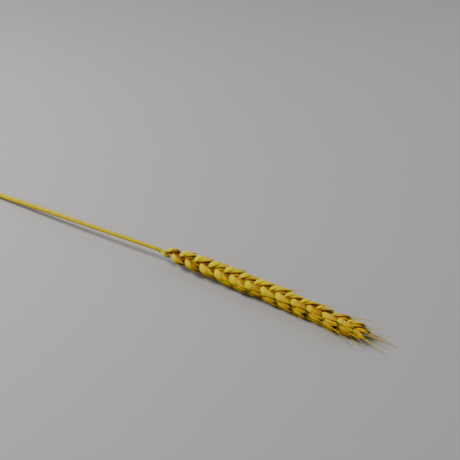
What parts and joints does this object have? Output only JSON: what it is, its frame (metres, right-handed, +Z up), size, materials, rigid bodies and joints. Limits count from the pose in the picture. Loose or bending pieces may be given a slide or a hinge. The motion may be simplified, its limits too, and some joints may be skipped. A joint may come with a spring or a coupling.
{
  "type": "wheat ear",
  "caption": "Dried golden wheat ear with overlapping husked spikelets along both sides of its stalk, short bristles near the tip, and a length of cut straw, lying on its side.",
  "frame": {"origin": "middle of the bounding box in X and Y, on the table that the ear lies on", "axes": "+X along the straw towards the tip of the ear, +Z up from the table, -Y to the side that the ear's broad face leans towards"},
  "size_m": [0.2462, 0.0192, 0.0102],
  "materials": {
    "husk": "dry golden-yellow husk, satin",
    "straw": "dry pale yellow straw, smooth satin"
  },
  "bodies": {
    "root": {"ear": "husk", "straw": "straw"}
  },
  "joints": []
}
